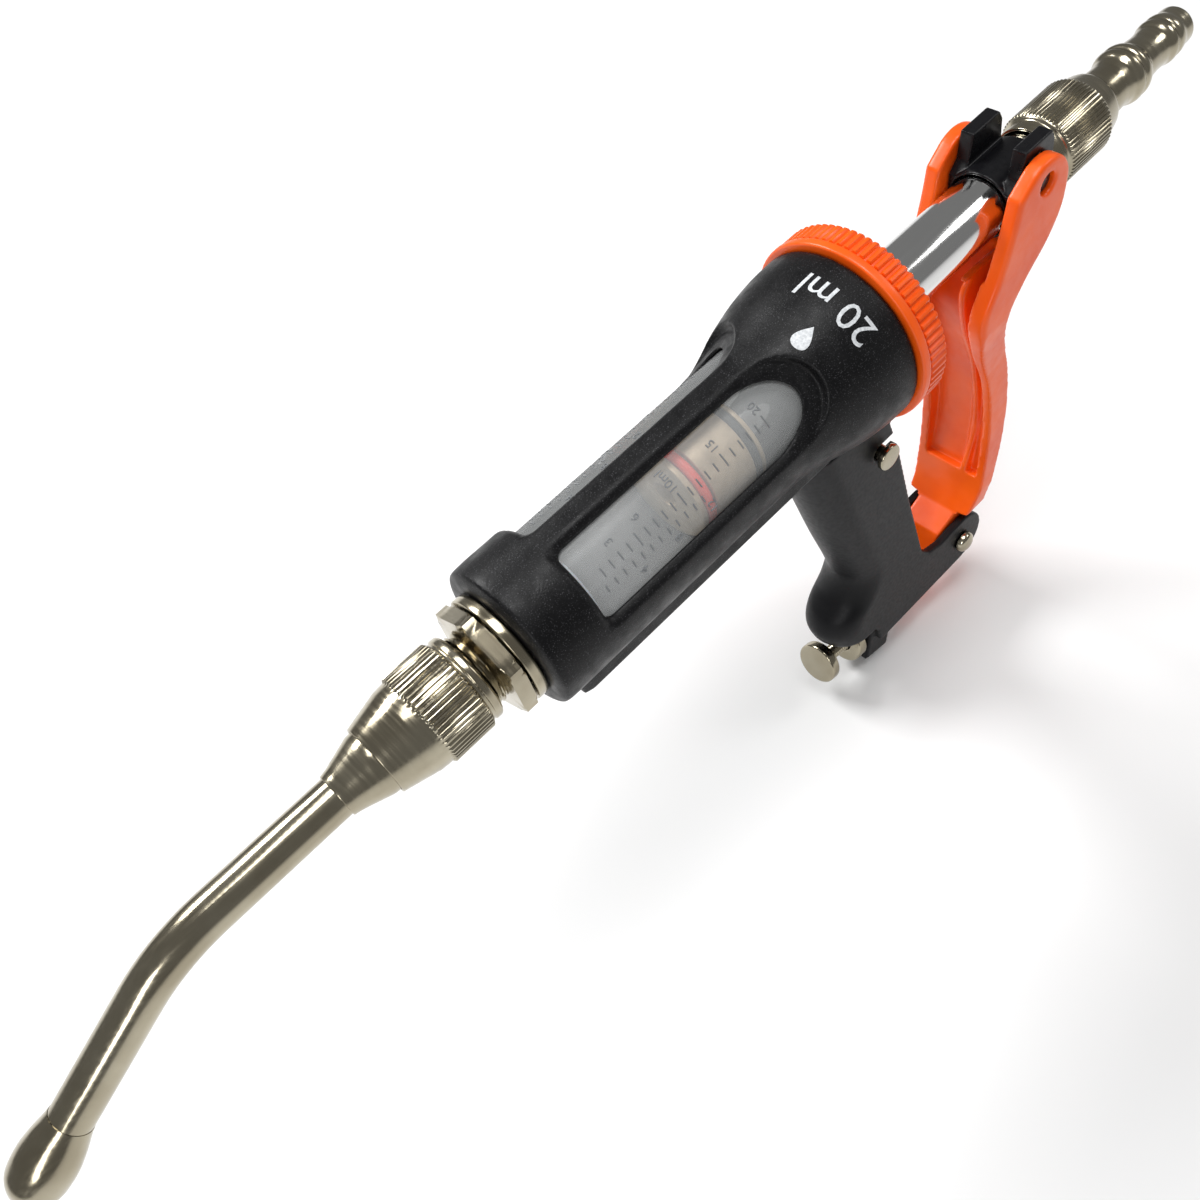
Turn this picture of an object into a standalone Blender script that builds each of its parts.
"""Hand-held drench gun with a ball-ended hook nozzle.

Design lengths are millimetres in the barrel frame: x runs backwards along the
barrel axis from the front rim of the sleeve, y is the right-hand side, z is up
from the barrel axis.  MM turns them into metres when a mesh is made, and the
finished gun is moved so that the centre of its box is the world origin.
"""
import math

import bmesh
import bpy
from mathutils import Matrix, Vector

MM = 0.001
GAP = 0.3                       # clearance kept between touching pieces
ROUND = 32                      # sides of a large turned piece
MEDIUM_ROUND = 20               # sides of a fitting or an inner piece
SMALL_ROUND = 14                # sides of a small turned piece
TINY_ROUND = 10                 # sides of pins and valve parts

# Barrel
SLEEVE_R = 17.0
SLEEVE_BORE_R = 14.8
SLEEVE_FLARE_R = 21.6
SLEEVE_END_X = 100.4
SLEEVE_THREAD_R = 19.6
SLEEVE_THREAD_X = 105.5
SLEEVE_WALL_X = 4.1             # thickness of the front wall
WINDOW_X = (15.0, 75.4)
WINDOW_HALF_DEG = 31.3
WINDOW_ARCH = 10.0              # depth of the arched rear end
WINDOW_CENTRES_DEG = (45.0, 135.0)
RAIL_HALF_Y = 9.2
RAIL_X = (6.0, 99.7)
RAIL_Z = -22.0
HANDLE_SCREW_X = (88.0, 96.4)   # the two screws that hold the handle to the rail
CYLINDER_X = (7.3, 92.0)
CYLINDER_R = (11.7, 14.5)
COLLAR_X = (100.8, 109.0)
COLLAR_R = 23.0
COLLAR_RIBS = 30

# Piston and its tube
PISTON_X = (45.5, 64.5)
PISTON_R = 11.1
TUBE_R = 7.6
TUBE_BORE_R = 5.4
TUBE_X = (57.6, 180.4)
PISTON_STROKE = 28.6

# Hose end
NUT_X = 168.5
TAIL_END_X = 230.0
TAIL_BORE_R = 3.2

# Nozzle
NOZZLE_R = 4.4
NOZZLE_BORE_R = 3.0
NOZZLE_STRAIGHT_X = (-25.0, -72.0)
NOZZLE_BEND_R = 40.0
NOZZLE_BEND_DEG = 29.0
NOZZLE_LEG = 36.0
TIP_LENGTH = 17.5
TIP_R = 6.1

# Lever, pivot and yoke
PIVOT = (139.0, -109.0)
SLIDE_PIN = (157.5, 6.5)
SLIDE_PIN_R = 2.4
PIVOT_R = 2.4
ARM_Y = (9.0, 13.0)
TRAY_HALF_Y = 11.0
TOE_HALF_Y = 6.2
TONGUE_HALF_Y = 3.0
YOKE_HALF_Y = 8.6
YOKE_EAR_Y = 5.0

FORK_GAP = [(130.0, 20.0), (175.0, 20.0), (175.0, -13.5), (160.0, -13.0), (146.0, -12.0), (130.0, -12.0)]
RIB_Y = (-5.0, -3.0)            # stiffening rib along the tray
RIB_FRONT = [(143.5, -13.0), (139.8, -17.0), (141.5, -30.0), (146.0, -45.0), (148.6, -62.0), (148.4, -74.0),
             (145.0, -84.0)]
TRAY_WALL = 2.6
TRAY_FLOOR = 3.2

# Side outlines of the lever, (x, z) from the fork down and from the pivot up
LEVER_REAR = [(166.2, 4.0), (165.0, -4.0), (160.5, -11.0), (152.5, -18.0), (147.4, -25.0), (148.4, -34.0),
              (151.6, -46.0), (153.0, -60.0), (152.4, -74.0), (150.2, -86.0), (147.5, -98.0),
              (147.0, -108.0)]
LEVER_FRONT = [(139.0, -98.0), (143.6, -90.0), (145.6, -74.0), (145.6, -60.0), (143.4, -46.0),
               (138.6, -32.0),
               (136.6, -20.0), (141.6, -10.0), (145.4, 0.0), (147.6, 8.0)]

# Handle
HANDLE_HALF_Y = 9.0
HANDLE_WALL = 2.3
HANDLE_TOP_Z = RAIL_Z - GAP
ANCHOR = (103.2, -35.5)
ANCHOR_R = 2.0
LUG_HALF_Y = 6.6
SPRING_ENDS = ((104.2, -38.8), (119.4, -110.0))
HANDLE_SKIN = 2.8               # thickness of the rounded front
HANDLE_FRONT = [(78.6, HANDLE_TOP_Z), (83.8, -42.9), (88.7, -62.2), (93.4, -79.0), (94.4, -86.0),
                (91.4, -92.4), (86.4, -97.6), (84.5, -102.6), (85.6, -107.4)]
FOOT_X = 86.4
HANDLE_BOTTOM = [(87.5, -109.0), (95.6, -109.4), (99.4, -109.8), (100.6, -112.0), (101.4, -118.0),
                 (139.0, -118.0)]

# Dose screw
KNOB = (84.5, -117.5)
SCREW_TILT_DEG = 14.0
KNOB_R = 6.4
SCREW_R = 2.2
SCREW_LENGTH = 31.0

NICKEL = ((0.62, 0.58, 0.50), 0.28, 1.0)
CHROME = ((0.75, 0.75, 0.75), 0.08, 1.0)
BLACK = ((0.015, 0.015, 0.017), 0.45, 0.0)
DARK_GREY = ((0.045, 0.045, 0.048), 0.5, 0.0)
ORANGE = ((0.85, 0.14, 0.02), 0.38, 0.0)
MILKY = ((0.62, 0.66, 0.70), 0.25, 0.0)
RED = ((0.75, 0.05, 0.02), 0.4, 0.0)
BRASS = ((0.60, 0.45, 0.25), 0.3, 1.0)
RUBBER = ((0.02, 0.02, 0.02), 0.7, 0.0)
ACETAL = ((0.75, 0.74, 0.70), 0.45, 0.0)
STEEL = ((0.55, 0.55, 0.56), 0.3, 1.0)

TURN_TO_X = Matrix.Rotation(math.radians(90.0), 4, "Y")


def clear_scene():
    for old in list(bpy.data.objects):
        bpy.data.objects.remove(old, do_unlink=True)


def material(name, look):
    colour, roughness, metallic = look
    mat = bpy.data.materials.new(name)
    mat.use_nodes = True
    shader = mat.node_tree.nodes["Principled BSDF"]
    shader.inputs["Base Color"].default_value = (*colour, 1.0)
    shader.inputs["Roughness"].default_value = roughness
    shader.inputs["Metallic"].default_value = metallic
    return mat


def finish_mesh(bm, name, look):
    """Turn a bmesh in millimetres into a linked object in metres."""
    bmesh.ops.recalc_face_normals(bm, faces=bm.faces)
    bmesh.ops.scale(bm, vec=(MM, MM, MM), verts=bm.verts)
    mesh = bpy.data.meshes.new(name)
    bm.to_mesh(mesh)
    bm.free()
    obj = bpy.data.objects.new(name, mesh)
    bpy.context.scene.collection.objects.link(obj)
    mesh.shade_smooth()
    mesh.set_sharp_from_angle(angle=math.radians(35.0))
    if look is None:
        obj.hide_render = True
        obj.display_type = "WIRE"
    else:
        mesh.materials.append(material(name, look))
    return obj


def add_ring(bm, x, radius, sides, phase=0.0):
    if radius == 0.0:
        return [bm.verts.new((x, 0.0, 0.0))]
    ring = []
    for k in range(sides):
        angle = phase + 2.0 * math.pi * k / sides
        ring.append(bm.verts.new((x, radius * math.cos(angle), radius * math.sin(angle))))
    return ring


def bridge(bm, first, second):
    """Join two rings of a turned shape; either may be a single point on the axis."""
    sides = max(len(first), len(second))
    for k in range(sides):
        after = (k + 1) % sides
        corners = [first[k % len(first)], first[after % len(first)],
                   second[after % len(second)], second[k % len(second)]]
        bm.faces.new(list(dict.fromkeys(corners)))


def turned(name, profile, look, sides=SMALL_ROUND, place=None, phase=0.0):
    """Turn (x, radius) points about X.  A profile that leaves the axis is a closed loop."""
    bm = bmesh.new()
    rings = [add_ring(bm, x, radius, sides, phase) for x, radius in profile]
    for first, second in zip(rings, rings[1:]):
        bridge(bm, first, second)
    if len(rings[0]) > 1:
        bridge(bm, rings[-1], rings[0])
    if place is not None:
        bmesh.ops.transform(bm, matrix=place, verts=bm.verts)
    return finish_mesh(bm, name, look)


def extruded(name, outline, y_range, look):
    """Extrude a closed (x, z) outline between two y values."""
    bm = bmesh.new()
    y0, y1 = y_range
    face = bm.faces.new([bm.verts.new((x, y0, z)) for x, z in outline])
    grown = bmesh.ops.extrude_face_region(bm, geom=[face])
    moved = [v for v in grown["geom"] if isinstance(v, bmesh.types.BMVert)]
    bmesh.ops.translate(bm, vec=(0.0, y1 - y0, 0.0), verts=moved)
    return finish_mesh(bm, name, look)


def layered(name, outline_at, half_y, look, steps=8):
    """Join (x, z) outlines at several y values; outline_at(y) gives each one."""
    bm = bmesh.new()
    loops = []
    for k in range(steps + 1):
        y = half_y * math.sin(math.pi * (k / steps - 0.5))
        loops.append([bm.verts.new((x, y, z)) for x, z in outline_at(y)])
    for first, second in zip(loops, loops[1:]):
        bridge(bm, first, second)
    bm.faces.new(loops[0])
    bm.faces.new(loops[-1])
    return finish_mesh(bm, name, look)


def block(name, x_range, y_range, z_range, look=None, place=None):
    bm = bmesh.new()
    bmesh.ops.create_cube(bm, size=1.0)
    size = [b - a for a, b in (x_range, y_range, z_range)]
    centre = [(a + b) / 2.0 for a, b in (x_range, y_range, z_range)]
    bmesh.ops.scale(bm, vec=size, verts=bm.verts)
    bmesh.ops.translate(bm, vec=centre, verts=bm.verts)
    if place is not None:
        bmesh.ops.transform(bm, matrix=place, verts=bm.verts)
    return finish_mesh(bm, name, look)


def across(x, z, y=0.0):
    """Place a turned piece along Y through (x, z)."""
    return Matrix.Translation((x, y, z)) @ Matrix.Rotation(math.radians(90.0), 4, "Z")


def boolean(obj, cutter, operation="DIFFERENCE"):
    mod = obj.modifiers.new(cutter.name, "BOOLEAN")
    mod.operation = operation
    mod.object = cutter
    mod.solver = "EXACT"
    return obj


def upright(x, z):
    """Place a turned piece along Z, starting at (x, z) and rising."""
    return Matrix.Translation((x, 0.0, z)) @ Matrix.Rotation(math.radians(-90.0), 4, "Y")


def arc(centre, radius, start_deg, end_deg, steps):
    """Points on an (x, z) arc, from start to end angle."""
    cx, cz = centre
    points = []
    for k in range(steps + 1):
        angle = math.radians(start_deg + (end_deg - start_deg) * k / steps)
        points.append((cx + radius * math.cos(angle), cz + radius * math.sin(angle)))
    return points


def smooth(points, steps=3):
    """An open Catmull-Rom curve through (x, z) points, ends included."""
    padded = [points[0]] + list(points) + [points[-1]]
    curve = []
    for a, b, c, d in zip(padded, padded[1:], padded[2:], padded[3:]):
        for k in range(steps):
            t = k / steps
            curve.append(tuple(
                0.5 * (2.0 * q + (r - p) * t + (2.0 * p - 5.0 * q + 4.0 * r - s) * t * t
                       + (3.0 * q - p - 3.0 * r + s) * t ** 3)
                for p, q, r, s in zip(a, b, c, d)))
    curve.append(tuple(points[-1]))
    return curve


def on_axis(obj, x, z, y=0.0):
    """Put a moving piece's origin on its joint axis without moving its shape."""
    point = Vector((x, y, z)) * MM
    obj.data.transform(Matrix.Translation(-point))
    obj.location = point
    return obj


def ring_profile(x0, x1, inner, outer):
    return [(x0, inner), (x0, outer), (x1, outer), (x1, inner)]


def torus_profile(x, radius, wire, sides=5):
    angles = [2.0 * math.pi * k / sides for k in range(sides)]
    return [(x + wire * math.cos(a), radius + wire * math.sin(a)) for a in angles]


def coil(name, start, end, radius, wire, turns, look, steps=10, sides=5):
    """A round-wire spring between two (x, z) points in the y = 0 plane, ends capped."""
    first, last = Vector((start[0], 0.0, start[1])), Vector((end[0], 0.0, end[1]))
    along = last - first
    axis = along.normalized()
    side = Vector((0.0, 1.0, 0.0))
    other = axis.cross(side)
    bm = bmesh.new()
    count = turns * steps
    rings = []
    for k in range(count + 1):
        angle = 2.0 * math.pi * k / steps
        outward = side * math.cos(angle) + other * math.sin(angle)
        centre = first + along * (k / count) + outward * radius
        ring = []
        for s in range(sides):
            around = 2.0 * math.pi * s / sides
            offset = outward * math.cos(around) + axis * math.sin(around)
            ring.append(bm.verts.new(centre + offset * wire))
        rings.append(ring)
    for low, high in zip(rings, rings[1:]):
        bridge(bm, low, high)
    bm.faces.new(rings[0])
    bm.faces.new(rings[-1])
    return finish_mesh(bm, name, look)


# Barrel ---------------------------------------------------------------------

def sleeve():
    half = math.radians(WINDOW_HALF_DEG)
    profile = [(0.0, 8.3), (0.0, 15.0), (0.6, 16.4), (2.0, SLEEVE_R), (14.0, SLEEVE_R), (40.0, SLEEVE_R),
               (66.0, SLEEVE_R), (73.0, 17.5), (79.0, 18.7), (86.0, 20.4), (93.0, 21.4),
               (98.0, SLEEVE_FLARE_R),
               (SLEEVE_END_X, SLEEVE_FLARE_R), (SLEEVE_END_X, SLEEVE_THREAD_R),
               (SLEEVE_THREAD_X, SLEEVE_THREAD_R),
               (SLEEVE_THREAD_X, 17.9), (97.6, 17.9), (97.6, SLEEVE_BORE_R), (SLEEVE_WALL_X, SLEEVE_BORE_R),
               (SLEEVE_WALL_X, 8.3)]
    body = turned("sleeve", profile, BLACK, ROUND)
    rail = extruded("rail_form", rail_outline(), (-RAIL_HALF_Y, RAIL_HALF_Y), None)
    bore = turned("rail_bore", [(RAIL_X[0] - 4.0, 0.0), (RAIL_X[0] - 4.0, 15.6), (96.8, 15.6), (96.8, 18.6),
                                (120.0, 18.6), (120.0, 0.0)], None, ROUND)
    boolean(rail, bore)
    boolean(body, rail, "UNION")
    for number, centre in enumerate(WINDOW_CENTRES_DEG):
        boolean(body, window_cutter("window_%d" % number, math.radians(centre), half))
    for number, x in enumerate(HANDLE_SCREW_X):
        hole = turned("rail_hole_%d" % number, [(0.0, 0.0), (0.0, 1.9), (6.0, 1.9),
                                                (6.0, 0.0)], None, TINY_ROUND,
                      upright(x, RAIL_Z - 1.0))
        boolean(body, hole)
    return body


def rail_outline():
    x0, x1 = RAIL_X
    return [(x0, -12.5), (x0 + 1.5, RAIL_Z + 1.0), (x0 + 4.0, RAIL_Z), (x1, RAIL_Z), (x1, -12.5)]


def window_cutter(name, middle, spread, inner=13.0, outer=24.0, steps=8):
    """A wedge through the sleeve wall: square at the front, arched at the rear."""
    x0, x1 = WINDOW_X
    arch = WINDOW_ARCH
    bm = bmesh.new()
    columns = []
    for k in range(steps + 1):
        share = 2.0 * k / steps - 1.0
        angle = middle + share * spread
        end = x1 - arch * (1.0 - math.sqrt(max(0.0, 1.0 - share * share)))
        start = x0 + (1.6 if abs(share) == 1.0 else 0.0)
        direction = (math.cos(angle), math.sin(angle))
        columns.append([bm.verts.new((x, r * direction[0], r * direction[1]))
                        for x, r in ((start, inner), (end, inner), (end, outer), (start, outer))])
    for left, right in zip(columns, columns[1:]):
        bridge(bm, left, right)
    bm.faces.new(columns[0])
    bm.faces.new(columns[-1])
    return finish_mesh(bm, name, None)


def dose_cylinder():
    inner, outer = CYLINDER_R
    x0, x1 = CYLINDER_X
    return turned("dose_cylinder", [(x0, inner), (x0, outer), (x1, outer), (x1, inner)], MILKY, ROUND)


def cylinder_head():
    groove = 9.6
    profile = [(4.4, 8.2), (4.4, 14.4), (7.0, 14.4), (7.0, 11.3), (9.8, 11.3), (9.8, groove), (12.8, groove),
               (12.8, 11.3), (16.5, 11.3), (16.5, 4.0), (12.0, 4.0), (12.0, 8.2)]
    return turned("cylinder_head", profile, ACETAL, MEDIUM_ROUND)


def seals():
    turned("cylinder_front_o_ring", torus_profile(11.3, 10.6, 0.8), RUBBER, MEDIUM_ROUND)
    turned("cylinder_rear_o_ring", torus_profile(90.2, 10.55, 0.8), RUBBER, MEDIUM_ROUND)
    turned("stem_washer", ring_profile(-2.7, -GAP, 8.2, 12.7), NICKEL, MEDIUM_ROUND)
    turned("rod_wiper", [(103.0, 7.95), (103.0, 10.3), (105.2, 10.3), (105.2, 8.5), (104.6, 7.95)], RUBBER,
           MEDIUM_ROUND)


def outlet_stem():
    bore = 3.0
    profile = [(-16.0, bore), (-16.0, 7.9), (-15.3, 8.6), (-8.6, 8.6), (-7.9, 7.9), (-6.6, 7.9),
               (-6.6, 11.9),
               (-3.4, 11.9), (-3.4, 7.9), (8.5, 7.9), (8.5, 5.6), (-2.0, 5.6), (-2.0, bore)]
    stem = turned("outlet_stem", profile, NICKEL, MEDIUM_ROUND)
    hexagon = turned("hexagon", [(-7.0, 0.0), (-7.0, 12.2), (-6.2, 13.2), (-3.0, 13.2),
                                 (-3.0, 0.0)], None, 6)
    core = turned("hexagon_core", [(-9.0, 0.0), (-9.0, 7.5), (0.0, 7.5), (0.0, 0.0)], None, SMALL_ROUND)
    boolean(hexagon, core)
    boolean(stem, hexagon, "UNION")
    return stem


def rear_collar():
    """Threaded ring with grip ribs, a plain front bead and an end wall round the rod guide."""
    x0, x1 = COLLAR_X
    wall_x = 106.2
    profile = [(x0, 20.0), (x0, COLLAR_R - 0.7), (x0 + 0.8, COLLAR_R), (x0 + 2.0, COLLAR_R),
               (x0 + 2.4, COLLAR_R - 0.6), (x1 - 0.6, COLLAR_R - 0.6), (x1, COLLAR_R - 1.2), (x1, 12.4),
               (wall_x, 12.4), (wall_x, 20.0)]
    bm = bmesh.new()
    sides = 2 * COLLAR_RIBS
    rings = []
    for x, radius in profile:
        ring = []
        for k in range(sides):
            rib = radius == COLLAR_R - 0.6 and k % 2 == 0
            grown = radius + (0.5 if rib else 0.0)
            angle = 2.0 * math.pi * k / sides
            ring.append(bm.verts.new((x, grown * math.cos(angle), grown * math.sin(angle))))
        rings.append(ring)
    for first, second in zip(rings, rings[1:] + rings[:1]):
        bridge(bm, first, second)
    return on_axis(finish_mesh(bm, "rear_collar", ORANGE), x0, 0.0)


def rod_guide():
    profile = [(88.4, 8.0), (88.4, 9.5), (88.6, 9.5), (91.8, 9.5), (91.8, 11.3), (92.3, 11.3), (92.3, 14.4),
               (97.9, 14.4), (97.9, 17.5), (101.0, 17.5), (101.0, 12.0), (108.4, 12.0), (108.4, 10.6),
               (102.7, 10.6), (102.7, 8.0)]
    return turned("rod_guide_bush", profile, ACETAL, MEDIUM_ROUND)


# Piston and hose end -----------------------------------------------------------

def piston():
    x0, x1 = PISTON_X
    profile = [(x0, 3.0), (x0, 10.6), (x0 + 0.5, PISTON_R), (46.9, PISTON_R), (46.9, 9.0), (50.1, 9.0),
               (50.1, PISTON_R), (61.4, PISTON_R), (61.4, 9.4), (63.4, 9.4), (63.4, PISTON_R),
               (x1, PISTON_R),
               (x1, 7.9), (57.3, 7.9), (57.3, 3.0), (54.6, 3.0), (54.6, 6.0), (48.5, 6.0), (48.5, 3.0)]
    on_axis(turned("piston_head", profile, BRASS, MEDIUM_ROUND), x0, 0.0)
    on_axis(turned("piston_o_ring", torus_profile(48.5, 10.25, 1.15), RED, MEDIUM_ROUND), x0, 0.0)
    on_axis(turned("piston_rear_ring", ring_profile(61.7, 63.1, 9.7, 11.4), RUBBER, MEDIUM_ROUND), x0, 0.0)
    tube = [(TUBE_X[0], TUBE_BORE_R), (TUBE_X[0], TUBE_R), (TUBE_X[1], TUBE_R), (TUBE_X[1], TUBE_BORE_R)]
    on_axis(turned("piston_tube", tube, CHROME, MEDIUM_ROUND), x0, 0.0)


def valve(name, seat_x, open_x, chamber_r, disc_r):
    """A poppet on its seat and the spring that holds it shut; it opens forwards."""
    face = seat_x - GAP
    stem_tip = open_x + 2.6
    profile = [(face, 0.0), (face, disc_r), (face - 1.0, disc_r), (face - 1.4, 1.1), (stem_tip, 1.1),
               (stem_tip, 0.0)]
    on_axis(turned(name + "_poppet", profile, BRASS, TINY_ROUND), face, 0.0)
    spring_r = 0.5 * (1.1 + min(chamber_r, disc_r)) + 0.2
    start, end = (open_x + 0.7, 0.0), (face - 2.0, 0.0)
    return coil(name + "_spring", start, end, spring_r, 0.3, 3, STEEL, steps=8, sides=4)


def hose_end():
    x = NUT_X
    nut = [(x, 8.0), (x, 8.4), (x + 0.3, 8.7), (x + 4.0, 8.7), (x + 4.0, 9.6), (x + 4.4, 9.9),
           (x + 19.6, 9.9),
           (x + 20.0, 9.6), (x + 20.0, 9.2), (x + 24.6, 8.0), (x + 25.5, 7.6), (x + 25.5, 6.9),
           (x + 17.2, 6.9),
           (x + 17.2, 8.0)]
    on_axis(turned("hose_nut", nut, NICKEL, MEDIUM_ROUND), x, 0.0)
    tail = [(183.0, TAIL_BORE_R), (183.0, 7.5), (185.4, 7.5), (185.4, 6.5), (194.0, 6.5), (201.0, 5.9),
            (203.5, 6.2), (204.8, 7.0), (206.0, 7.1), (206.9, 6.5), (207.8, 7.0), (209.2, 6.8), (211.0, 5.6),
            (219.6, 5.2), (221.0, 5.8), (222.2, 5.8), (223.0, 5.3), (223.9, 5.7), (226.6, 5.1),
            (229.6, 5.0), (TAIL_END_X, 4.7), (TAIL_END_X, TAIL_BORE_R)]
    on_axis(turned("hose_tail", tail, NICKEL, SMALL_ROUND), 183.0, 0.0)
    on_axis(turned("hose_washer", ring_profile(180.7, 182.7, 5.0, 7.6), RUBBER, SMALL_ROUND), 180.7, 0.0)


# Nozzle ---------------------------------------------------------------------

def nozzle_path():
    """Centre line of the tube as (x, z) points, from the ferrule to the tip."""
    start, bend = NOZZLE_STRAIGHT_X
    centre = (bend, -NOZZLE_BEND_R)
    curve = arc(centre, NOZZLE_BEND_R, 90.0, 90.0 + NOZZLE_BEND_DEG, 6)
    along = tip_direction()
    last = curve[-1]
    end = (last[0] + NOZZLE_LEG * along[0], last[1] + NOZZLE_LEG * along[1])
    return [(start, 0.0)] + curve + [end]


def tip_direction():
    angle = math.radians(NOZZLE_BEND_DEG)
    return (-math.cos(angle), -math.sin(angle))


def swept_tube(name, path, outer, inner, look, sides=SMALL_ROUND):
    """A hollow tube along (x, z) points in the y = 0 plane, open at both ends."""
    bm = bmesh.new()
    loops = []
    for k, (x, z) in enumerate(path):
        before = path[max(0, k - 1)]
        after = path[min(len(path) - 1, k + 1)]
        along = Vector((after[0] - before[0], 0.0, after[1] - before[1])).normalized()
        side = Vector((0.0, 1.0, 0.0))
        other = along.cross(side)
        loops.append([[bm.verts.new(Vector((x, 0.0, z)) + r * (side * math.cos(a) + other * math.sin(a)))
                       for a in (2.0 * math.pi * s / sides for s in range(sides))] for r in (outer, inner)])
    for low, high in zip(loops, loops[1:]):
        bridge(bm, low[0], high[0])
        bridge(bm, low[1], high[1])
    for end in (loops[0], loops[-1]):
        bridge(bm, end[0], end[1])
    return finish_mesh(bm, name, look)


def nozzle():
    path = nozzle_path()
    on_axis(swept_tube("nozzle_tube", path, NOZZLE_R, NOZZLE_BORE_R, NICKEL), -25.0, 0.0)
    ferrule = [(-43.0, 4.7), (-43.0, 5.0), (-41.0, 5.3), (-34.6, 7.2), (-23.9, 7.2), (-23.7, 8.3),
               (-19.6, 8.3),
               (-19.6, 4.7)]
    on_axis(turned("nozzle_ferrule", ferrule, NICKEL), -25.0, 0.0)
    end = path[-1]
    along = tip_direction()
    place = (Matrix.Translation((end[0] - 9.0 * along[0], 0.0, end[1] - 9.0 * along[1]))
             @ Matrix.Rotation(math.radians(180.0 - NOZZLE_BEND_DEG), 4, "Y"))
    reach = 9.0 + GAP
    total = TIP_LENGTH + 1.5
    tip = [(0.0, NOZZLE_R + GAP), (0.0, 4.9), (2.5, 5.1), (5.5, 5.6), (9.0, TIP_R), (12.0, TIP_R),
           (14.6, 5.7), (16.8, 4.6), (18.2, 3.2), (total, 1.7), (total, 1.4), (reach, 1.4),
           (reach, NOZZLE_R + GAP)]
    on_axis(turned("nozzle_tip", tip, NICKEL, SMALL_ROUND, place), -25.0, 0.0)
    on_axis(turned("nozzle_gasket", ring_profile(-19.3, -16.3, 3.4, 7.8), RUBBER), -25.0, 0.0)
    nut = [(-33.6, 7.5), (-33.6, 7.8), (-33.2, 8.0), (-25.4, 9.9), (-23.6, 10.1), (-22.8, 10.1),
           (-22.4, 10.5),
           (-12.6, 10.5), (-12.2, 10.1), (-11.4, 9.8), (-10.0, 9.8), (-9.4, 9.4), (-9.4, 8.9), (-24.1, 8.9),
           (-24.1, 7.5)]
    on_axis(turned("nozzle_nut", nut, NICKEL, MEDIUM_ROUND), -25.0, 0.0)


# Yoke and lever -----------------------------------------------------------------

def yoke():
    """Crosshead on the piston tube: a hub with an upright ear and a pin slot each side."""
    px, pz = SLIDE_PIN
    hub = turned("yoke", ring_profile(150.5, 165.8, TUBE_R + GAP, YOKE_HALF_Y), BLACK, MEDIUM_ROUND)
    for side in (-1.0, 1.0):
        label = "left" if side < 0.0 else "right"
        outline = [(150.5, -4.0), (165.5, -4.0), (165.5, 12.0), (164.2, 14.6), (154.6, 14.6), (153.2, 8.0),
                   (150.5, 5.5)]
        ear = extruded("ear_" + label, outline, (side * YOKE_EAR_Y, side * YOKE_HALF_Y), None)
        boolean(ear, turned("ear_bore_" + label, [(140.0, 0.0), (140.0, 8.2), (170.0, 8.2), (170.0, 0.0)],
                            None, ROUND))
        boolean(hub, ear, "UNION")
        slot = block("slot_" + label, (px - SLIDE_PIN_R - 0.35, px + SLIDE_PIN_R + 0.35),
                     sorted((side * 6.5, side * 12.0)), (pz - 3.2, pz + 4.8))
        boolean(hub, slot)
    screw = turned("yoke_screw_hole", [(0.0, 0.0), (0.0, 1.6), (6.0, 1.6), (6.0, 0.0)], None, TINY_ROUND,
                   upright(152.2, -12.0))
    boolean(hub, screw)
    return hub


def yoke_screw():
    return turned("yoke_set_screw", [(0.0, 0.0), (0.0, 1.3), (1.6, 1.3), (1.6, 0.0)], STEEL, TINY_ROUND,
                  upright(152.2, -9.6))


def lever_outline():
    """Side view of the lever as (x, z) points, clockwise from the top."""
    top = arc((157.0, 3.4), 9.2, 118.0, 4.0, 7)
    rear = smooth(LEVER_REAR)
    heel = arc(PIVOT, 8.0, 5.0, -62.0, 5)
    front = smooth(LEVER_FRONT)
    return top + rear + heel + toe_points() + front


def screw_frame():
    """Directions along the dose screw and square to it, in the (x, z) plane."""
    tilt = math.radians(SCREW_TILT_DEG)
    return (math.cos(tilt), -math.sin(tilt)), (math.sin(tilt), math.cos(tilt))


def on_screw(distance, offset=0.0):
    along, square = screw_frame()
    return (KNOB[0] + distance * along[0] + offset * square[0],
            KNOB[1] + distance * along[1] + offset * square[1])


def toe_points():
    """The tongue that the dose screw stops, from its rear lower edge round to its top."""
    stop = SCREW_LENGTH + GAP
    return [(131.0, -121.0), on_screw(stop + 7.0, -3.6), on_screw(stop, -3.4), on_screw(stop, 3.2),
            on_screw(stop + 2.5, 6.5), (126.0, -109.0), (131.5, -101.0)]


def rear_lever():
    y_out = ARM_Y[1]
    body = extruded("rear_lever", lever_outline(), (-y_out, y_out), ORANGE)
    boolean(body, extruded("fork_gap", FORK_GAP, (-ARM_Y[0], ARM_Y[0]), None))
    for side in (-1.0, 1.0):
        label = "left" if side < 0.0 else "right"
        slim = slimming_form("slim_" + label, side)
        boolean(body, slim)
        hole = turned("pin_hole_" + label, [(5.0, 0.0), (5.0, SLIDE_PIN_R + 0.3), (16.0, SLIDE_PIN_R + 0.3),
                                           (16.0, 0.0)], None, TINY_ROUND,
                      across(SLIDE_PIN[0], SLIDE_PIN[1]) @ Matrix.Scale(side, 4, (1.0, 0.0, 0.0)))
        boolean(body, hole)
    for cutter in tray_cutters():
        boolean(body, cutter)
    bore = turned("pivot_bore", [(-16.0, 0.0), (-16.0, 4.1), (16.0, 4.1), (16.0, 0.0)], None, SMALL_ROUND,
                  across(*PIVOT))
    boolean(body, bore)
    return body


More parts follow.
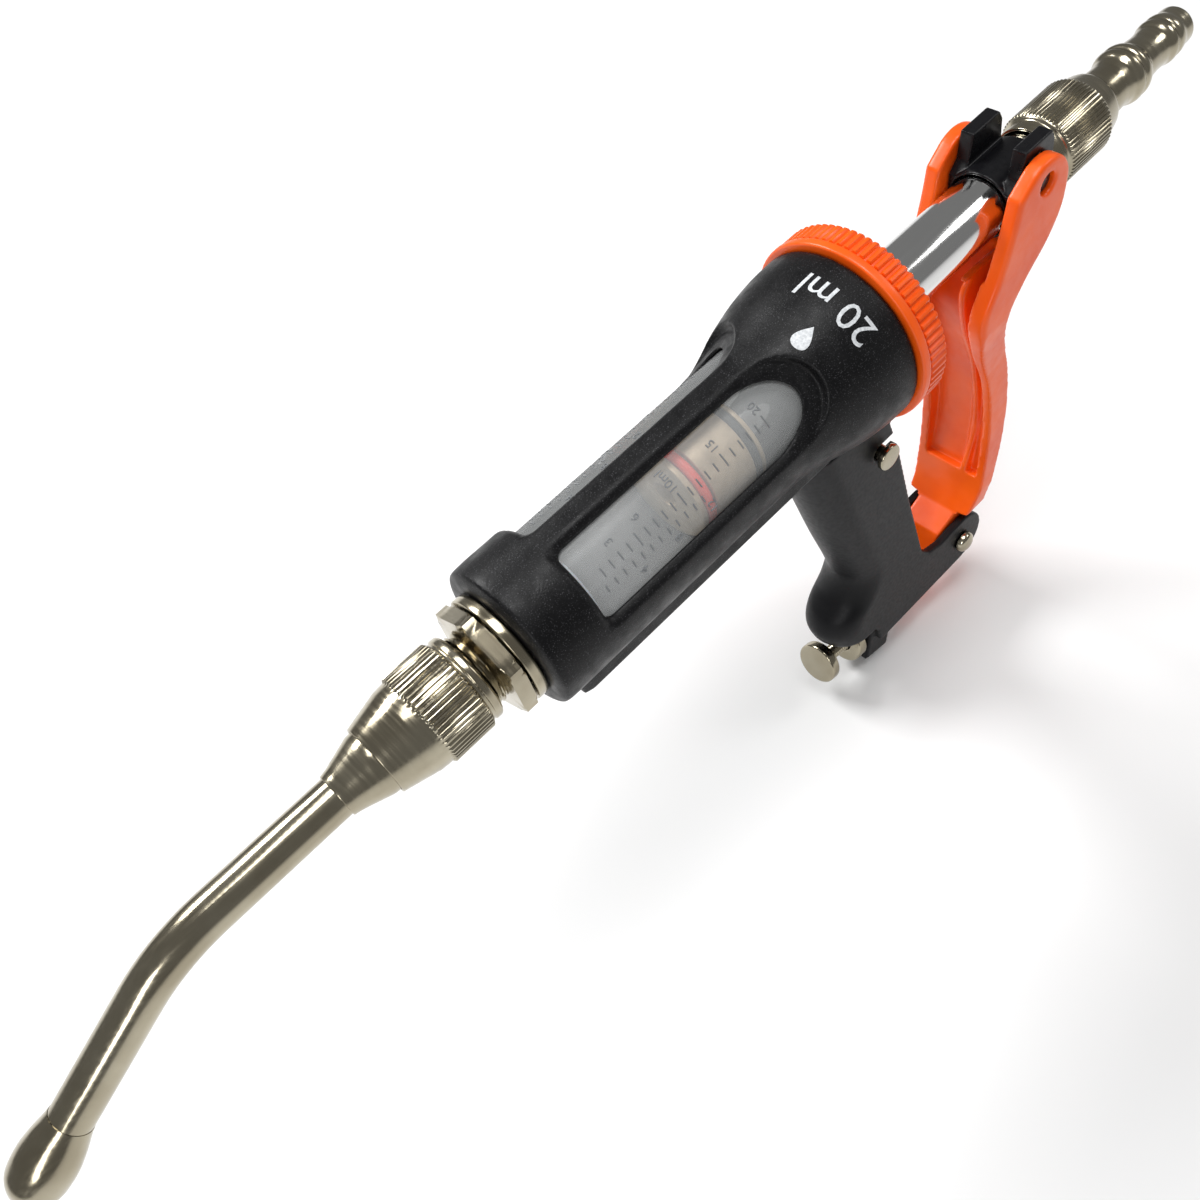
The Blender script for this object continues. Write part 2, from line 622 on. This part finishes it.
def slimming_form(name, side):
    """Narrows one side: tray below the fork, toe below the shoulder, tongue in front."""
    bm = bmesh.new()
    steps = [(-26.0, ARM_Y[1]), (-40.0, TRAY_HALF_Y), (-90.0, TRAY_HALF_Y), (-97.5, TRAY_HALF_Y - 1.0),
             (-98.3, TOE_HALF_Y), (-140.0, TOE_HALF_Y)]
    outline = [(20.0, -26.0)] + [(y, z) for z, y in steps] + [(20.0, -140.0)]
    face = bm.faces.new([bm.verts.new((120.0, side * y, z)) for y, z in outline])
    grown = bmesh.ops.extrude_face_region(bm, geom=[face])
    moved = [v for v in grown["geom"] if isinstance(v, bmesh.types.BMVert)]
    bmesh.ops.translate(bm, vec=(60.0, 0.0, 0.0), verts=moved)
    front = block(name + "_tongue", (100.0, 127.0), sorted((side * TONGUE_HALF_Y, side * 20.0)),
                  (-140.0, -100.0))
    slim = finish_mesh(bm, name, None)
    boolean(slim, front, "UNION")
    return slim


def tray_cutters():
    """Hollows each side of the rib, open to the front and top, and a trim in front of the rib."""
    rear = [(x - TRAY_FLOOR, z) for x, z in smooth(LEVER_REAR[1:10])]
    outline = rear + [(130.0, rear[-1][1] + 1.0), (130.0, rear[0][1])]
    inner = TRAY_HALF_Y - TRAY_WALL
    near_y, far_y = RIB_Y
    trim = smooth(RIB_FRONT) + [(129.0, RIB_FRONT[-1][1]), (129.0, RIB_FRONT[0][1] + 0.4)]
    return [extruded("tray_near", outline, (-inner, near_y), None),
            extruded("tray_far", outline, (far_y, inner), None),
            extruded("rib_trim", trim, (near_y - 0.4, far_y + 0.4), None)]


def lever_hardware():
    x, z = SLIDE_PIN
    for side, label in ((-1.0, "left"), (1.0, "right")):
        pin = turned(label + "_slide_pin", [(6.9, 0.0), (6.9, SLIDE_PIN_R), (12.0, SLIDE_PIN_R), (12.4, 2.0),
                                            (12.4, 0.0)], STEEL, TINY_ROUND,
                     across(x, z) @ Matrix.Scale(side, 4, (1.0, 0.0, 0.0)))
        on_axis(pin, *PIVOT)
    bush = turned("pivot_bush", [(-6.0, 2.75), (-6.0, 3.8), (6.0, 3.8), (6.0, 2.75)], ACETAL, SMALL_ROUND,
                  across(*PIVOT))
    on_axis(bush, *PIVOT)


# Handle ----------------------------------------------------------------------

def nose(y, half_y):
    """How far the rounded front edge falls back, y away from the middle."""
    return half_y - math.sqrt(max(0.0, half_y * half_y - y * y))


def handle_outline(y):
    """Side view of the handle at y as (x, z) points, anticlockwise from its top front."""
    back = nose(y, HANDLE_HALF_Y)
    front = [(x + back, z) for x, z in smooth(HANDLE_FRONT)]
    bottom = [(max(x, FOOT_X + back), z) for x, z in HANDLE_BOTTOM]
    boss = arc(PIVOT, 9.0, -80.0, 90.0, 8)
    crook = [(129.0, -100.4), (123.6, -98.6), (120.4, -94.6)]
    rear = [(114.4, -65.0), (109.6, -38.0), (107.0, -28.6), (109.0, -26.6), (108.2, -24.2), (100.8, -23.7),
            (100.8, HANDLE_TOP_Z)]
    return front + bottom + boss + crook + rear


def hollow_outline(y):
    """Inside of the channel at y, open to the rear, with a web left under the rail."""
    back = HANDLE_SKIN + nose(y, HANDLE_HALF_Y - HANDLE_WALL)
    top_z = HANDLE_TOP_Z - 3.4
    floor_z = -105.0
    inner = [(x + back, z) for x, z in smooth(HANDLE_FRONT) if floor_z < z < top_z]
    return ([(inner[0][0], top_z)] + inner + [(inner[-1][0], floor_z), (111.5, floor_z), (111.5, -125.0),
            (155.0, -125.0), (155.0, top_z)])


def screw_place():
    x, z = KNOB
    return Matrix.Translation((x, 0.0, z)) @ Matrix.Rotation(math.radians(SCREW_TILT_DEG), 4, "Y")


def front_handle():
    body = layered("front_handle", handle_outline, HANDLE_HALF_Y, DARK_GREY)
    boolean(body, layered("handle_hollow", hollow_outline, HANDLE_HALF_Y - HANDLE_WALL, None))
    lug = block("screw_lug", (14.4, 24.5), (-LUG_HALF_Y, LUG_HALF_Y), (-5.6, 9.0), None, screw_place())
    boolean(body, lug, "UNION")
    thread = turned("lug_thread", [(5.0, 0.0), (5.0, SCREW_R + GAP), (40.0, SCREW_R + GAP),
                                   (40.0, 0.0)], None,
                    SMALL_ROUND, screw_place())
    boolean(body, thread)
    notch = extruded("anchor_notch", anchor_notch_outline(), (-12.0, 12.0), None)
    boolean(body, notch)
    pin_bore = turned("handle_pivot_bore", [(-16.0, 0.0), (-16.0, PIVOT_R + GAP), (16.0, PIVOT_R + GAP),
                                            (16.0, 0.0)], None, SMALL_ROUND, across(*PIVOT))
    boolean(body, pin_bore)
    for number, x in enumerate(HANDLE_SCREW_X):
        hole = turned("web_hole_%d" % number, [(0.0, 0.0), (0.0, 2.2), (8.0, 2.2),
                                               (8.0, 0.0)], None, TINY_ROUND,
                      upright(x, HANDLE_TOP_Z - 6.0))
        boolean(body, hole)
    return body


def anchor_notch_outline():
    x, z = ANCHOR
    r = ANCHOR_R + GAP
    return arc((x, z), r, 90.0, 270.0, 6) + [(118.0, z - r - 1.5), (118.0, z + r)]


def handle_hardware():
    for label, x in zip(("front", "rear"), HANDLE_SCREW_X):
        turned("handle_screw_" + label, [(0.0, 0.0), (0.0, 3.2), (1.6, 3.4), (2.2, 3.4), (2.2, 1.6),
                                         (9.6, 1.6),
                                         (9.6, 0.0)], STEEL, TINY_ROUND, upright(x, HANDLE_TOP_Z - 5.9))
    y = HANDLE_HALF_Y
    head = [(-y - 2.9, 0.0), (-y - 2.7, 1.9), (-y - 2.0, 3.0), (-y - GAP, 3.4), (-y - GAP, PIVOT_R),
            (y + 2.4, PIVOT_R), (y + 2.4, 0.0)]
    turned("pivot_pin", head, NICKEL, SMALL_ROUND, across(*PIVOT))
    turned("pivot_clip", ring_profile(y + GAP, y + 1.5, PIVOT_R + 0.25, 4.4), STEEL, SMALL_ROUND,
           across(*PIVOT))
    spool = [(-y - 3.0, 0.0), (-y - 3.0, 3.0), (-y - 2.6, 3.4), (-y - 1.5, 3.4), (-y - 1.5, ANCHOR_R),
             (-5.6, ANCHOR_R), (-5.6, 3.1), (-4.4, 3.1), (-4.4, 1.6), (4.4, 1.6), (4.4, 3.1), (5.6, 3.1),
             (5.6, ANCHOR_R), (y + 1.5, ANCHOR_R), (y + 1.5, 3.4), (y + 2.6, 3.4), (y + 3.0, 3.0),
             (y + 3.0, 0.0)]
    turned("spring_anchor_pin", spool, NICKEL, SMALL_ROUND, across(*ANCHOR))
    coil("return_spring", *SPRING_ENDS, 2.9, 0.55, 12, STEEL, steps=6, sides=4)


def dose_adjuster():
    place = screw_place()
    screw = [(0.0, 0.0), (0.0, SCREW_R), (SCREW_LENGTH, SCREW_R), (SCREW_LENGTH, 0.0)]
    turned("dose_screw", screw, NICKEL, SMALL_ROUND, place)
    knob = [(-1.5, 0.0), (-1.5, KNOB_R - 0.6), (-1.0, KNOB_R), (1.0, KNOB_R), (1.5, KNOB_R - 0.5),
            (1.5, SCREW_R + GAP), (-GAP, SCREW_R + GAP), (-GAP, 0.0)]
    turned("dose_knob", knob, NICKEL, SMALL_ROUND, place)
    nut = [(10.6, SCREW_R + GAP), (10.6, KNOB_R - 0.6), (11.1, KNOB_R), (13.5, KNOB_R), (14.1, KNOB_R - 0.6),
           (14.1, SCREW_R + GAP)]
    turned("dose_lock_nut", nut, NICKEL, SMALL_ROUND, place)


# Assembly ---------------------------------------------------------------------

def joint_empties():
    """Empties on the joint axes, and the pieces that turn or slide with each."""
    groups = {
        "piston_axis": ((PISTON_X[0], 0.0), ["yoke", "yoke_set_screw"]),
        "lever_axis": (PIVOT, ["rear_lever"]),
        "dose_screw_axis": (KNOB, ["dose_screw", "dose_knob", "dose_lock_nut"]),
    }
    for name, ((x, z), pieces) in groups.items():
        empty = bpy.data.objects.new(name, None)
        empty.location = Vector((x, 0.0, z)) * MM
        bpy.context.scene.collection.objects.link(empty)
        for piece in pieces:
            obj = bpy.data.objects[piece]
            obj.parent = empty
            obj.matrix_parent_inverse = Matrix.Translation(-empty.location)


def centre_on_origin():
    """Move the whole gun so that the middle of its box is the world origin."""
    bpy.context.view_layer.update()
    graph = bpy.context.evaluated_depsgraph_get()
    low = Vector((1e9, 1e9, 1e9))
    high = -low
    for obj in bpy.data.objects:
        if obj.type != "MESH" or obj.hide_render:
            continue
        shape = obj.evaluated_get(graph)
        for vertex in shape.data.vertices:
            point = obj.matrix_world @ vertex.co
            low = Vector(map(min, low, point))
            high = Vector(map(max, high, point))
    middle = (low + high) / 2.0
    for obj in bpy.data.objects:
        if obj.parent is None:
            obj.location = obj.location - middle
    print("box centre in the barrel frame, mm:", [round(v / MM, 4) for v in middle])
    print("box size, mm:", [round((b - a) / MM, 3) for a, b in zip(low, high)])


def build():
    clear_scene()
    sleeve()
    dose_cylinder()
    cylinder_head()
    seals()
    outlet_stem()
    rear_collar()
    rod_guide()
    piston()
    valve("outlet_valve", 12.0, -2.0, 5.6, 4.9)
    valve("inlet_valve", 54.6, 48.5, 6.0, 4.4)
    hose_end()
    nozzle()
    yoke()
    yoke_screw()
    rear_lever()
    lever_hardware()
    front_handle()
    handle_hardware()
    dose_adjuster()
    joint_empties()
    centre_on_origin()


build()
